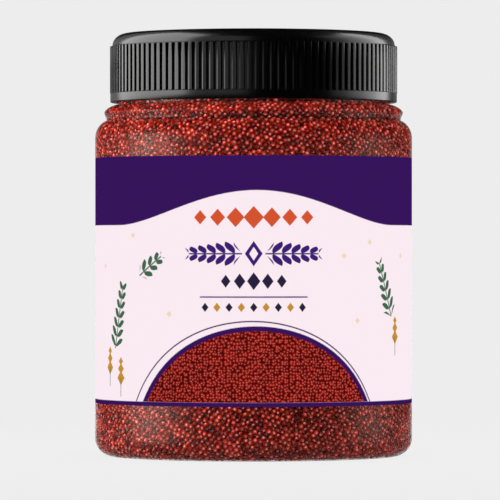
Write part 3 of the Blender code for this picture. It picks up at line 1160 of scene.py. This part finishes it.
class QUINOA_OT_seeds(bpy.types.Operator):
    """Pack the heap and the quinoa seeds that show through the wall, one piece for each colour of seed"""

    bl_idname = "quinoa.seeds"
    bl_label = "Quinoa"

    def execute(self, context):
        scene = context.scene
        jar, seeds = scene.jar_wall_settings, scene.quinoa_settings
        outside = jar_outline(jar, scene.jar_label_settings)
        inside = inset_outline(outside, jar.wall)
        self.heap(outside, jar, seeds)
        draws = np.random.default_rng(RANDOM_SEED)
        parts = []
        for low, high, deeper in SEED_ZONES:
            wall = Wall(inside, low, high)
            angles, picks = pushed_apart(wall, *wall.scatter(seeds.spacing, draws), seeds.spacing)
            parts.append(seed_frames(wall, angles, picks, seeds, draws, deeper * seeds.thickness))
        middle = np.concatenate([part[0] for part in parts])
        axes = [np.concatenate([part[1][number] for part in parts]) for number in range(3)]
        size = np.concatenate([part[2] for part in parts])
        tone = draws.uniform(0.0, 1.0, len(middle))
        draw = draws.uniform(0.0, 1.0, len(middle))
        base = seed_shape(seeds)
        low = 0.0
        for kind, share in SEED_KINDS:
            mine = (draw >= low) & (draw < low + share)
            low += share
            name = f"quinoa_{kind}"
            turned = [axis[mine] for axis in axes]
            mesh = joined_seeds(name, base, middle[mine], turned, size[mine], tone[mine])
            material = seed_material(name, getattr(seeds, kind), seeds.painted_highlight)
            finish_piece(mesh, material, "quinoa", LIT_SEEDS)
        return {"FINISHED"}

    def heap(self, outside, jar, seeds):
        """The mass behind the seeds, up to its level under the cap."""
        deep = jar.wall + HEAP_DEPTH * seeds.thickness
        rising = rising_part(inset_outline(outside, deep), HEAP_STEP)
        outline = [point for point in rising if point[1] < NECK_FOOT_Z]
        edge_middle = (NECK_RADIUS - deep - HEAP_EDGE, HEAP_LEVEL - HEAP_EDGE)
        outline += arc(edge_middle, HEAP_EDGE, HEAP_EDGE, 0.0, math.pi / 2.0, 5)
        outline.append((0.0, HEAP_LEVEL + HEAP_CROWN))
        mesh = mesh_from("quinoa_heap", spin_profile(outline, WALL_STEPS))
        finish_piece(mesh, heap_material(seeds.core), "quinoa", LIT_SEEDS)


class QUINOA_OT_cap(bpy.types.Operator):
    """Mould the screw cap with its ribs, its band and its hollow inside"""

    bl_idname = "quinoa.cap"
    bl_label = "Screw cap"

    def execute(self, context):
        cap = context.scene.jar_cap_settings
        pitch = FULL_TURN / RIB_COUNT
        shape = spin_profile(cap_outline(cap), len(SLOT_SECTION), pitch)
        self.cut_slot(shape, pitch)
        wedge = shape.verts[:] + shape.edges[:] + shape.faces[:]
        spin_whole(shape, wedge, FULL_TURN - pitch, RIB_COUNT - 1, use_duplicate=True)
        mesh = mesh_from("screw_cap", shape, math.radians(50.0))
        finish_piece(mesh, cap_material(cap), "cap", LIT_GLOSS)
        return {"FINISHED"}

    def cut_slot(self, shape, pitch):
        """Gather one rib's columns of points at its slot's edges, and push in those between the edges."""
        columns = (*SLOT_SECTION, (SLOT_SECTION[0][0] + math.degrees(pitch), SLOT_SECTION[0][1]))
        for corner in shape.verts:
            radius = math.hypot(corner.co.x, corner.co.y)
            if radius < WELD:
                continue
            column = round(math.atan2(corner.co.y, corner.co.x) / pitch * len(SLOT_SECTION))
            turn, cut = columns[column]
            angle = math.radians(turn)
            if BAND_TOP + WELD < corner.co.z < RIB_TOP - WELD and radius > CAP_SHELL_RADIUS:
                radius -= cut * (radius - RIB_ROOT_RADIUS)
            corner.co.x, corner.co.y = radius * math.cos(angle), radius * math.sin(angle)


class QUINOA_OT_label(bpy.types.Operator):
    """Wrap the printed film round the body, with its ends overlapping at the back"""

    bl_idname = "quinoa.label"
    bl_label = "Printed film"

    def execute(self, context):
        label = context.scene.jar_label_settings
        length = FULL_TURN * JAR_HIGH.x + FILM_OVERLAP
        height = label.top - label.bottom
        shape = bmesh.new()
        bmesh.ops.create_grid(shape, x_segments=FILM_STEPS, y_segments=FILM_ROWS, size=1.0)
        half = max(corner.co.x for corner in shape.verts)
        bmesh.ops.scale(shape, vec=(length / (2.0 * half), height / (2.0 * half), 1.0), verts=shape.verts)
        self.tighten(shape, height / 2.0)
        bmesh.ops.translate(shape, vec=(0.0, label.bottom + height / 2.0, 0.0), verts=shape.verts)
        layer = shape.loops.layers.uv.new(PRINT_UV)
        for face in shape.faces:
            for loop in face.loops:
                loop[layer].uv = (loop.vert.co.x / UV_SIZE, loop.vert.co.y / UV_SIZE)
        self.wrap(shape, length)
        mesh = mesh_from("label_film", shape)
        piece = finish_piece(mesh, label_material(label), "label", LIT_PRINT)
        wall = piece.modifiers.new("film", "SOLIDIFY")
        wall.thickness = FILM_THICKNESS / 2.0
        wall.offset = -1.0
        return {"FINISHED"}

    def tighten(self, shape, half):
        """Draw the rows next to the two long edges close to them, so that the film shades flat."""
        row = 2.0 * half / FILM_ROWS
        for corner in shape.verts:
            from_edge = half - abs(corner.co.y)
            if 0.5 * row < from_edge < 1.5 * row:
                corner.co.y = math.copysign(half - FILM_EDGE, corner.co.y)

    def wrap(self, shape, length):
        """Bend the flat film round the jar, its right end rising to lie over its left one."""
        rise = FILM_THICKNESS / 2.0 + FILM_GAP / 2.0
        lifted_from = length / 2.0 - FILM_OVERLAP - 2.0 * FILM_LIFT_RUN
        for corner in shape.verts:
            along, height = corner.co.x, corner.co.y
            lift = max(0.0, min(1.0, (along - lifted_from) / FILM_LIFT_RUN))
            radius = JAR_HIGH.x - rise * (1.0 - lift)
            angle = along / JAR_HIGH.x
            corner.co = (radius * math.sin(angle), -radius * math.cos(angle), height)


class QUINOA_PT_jar(bpy.types.Panel):
    """The pieces of the jar, its contents and its stage"""

    bl_idname = "QUINOA_PT_jar"
    bl_label = "Jar of Red Quinoa"
    bl_space_type = "VIEW_3D"
    bl_region_type = "UI"
    bl_category = "Quinoa Jar"

    def draw(self, context):
        for operator in OPERATORS:
            self.layout.operator(operator.bl_idname)
        for name, group in SETTINGS:
            box = self.layout.box()
            settings = getattr(context.scene, name)
            for key in group.__annotations__:
                box.prop(settings, key)


OPERATORS = (QUINOA_OT_stage, QUINOA_OT_jar, QUINOA_OT_seeds, QUINOA_OT_cap, QUINOA_OT_label)


def register():
    for name, group in SETTINGS:
        bpy.utils.register_class(group)
        setattr(bpy.types.Scene, name, bpy.props.PointerProperty(type=group))
    for kind in (*OPERATORS, QUINOA_PT_jar):
        bpy.utils.register_class(kind)


def unregister():
    for kind in (QUINOA_PT_jar, *reversed(OPERATORS)):
        bpy.utils.unregister_class(kind)
    for name, group in reversed(SETTINGS):
        delattr(bpy.types.Scene, name)
        bpy.utils.unregister_class(group)


def main():
    register()
    bpy.ops.quinoa.stage()
    bpy.ops.quinoa.jar()
    bpy.ops.quinoa.seeds()
    bpy.ops.quinoa.cap()
    bpy.ops.quinoa.label()


if __name__ == "__main__":
    main()
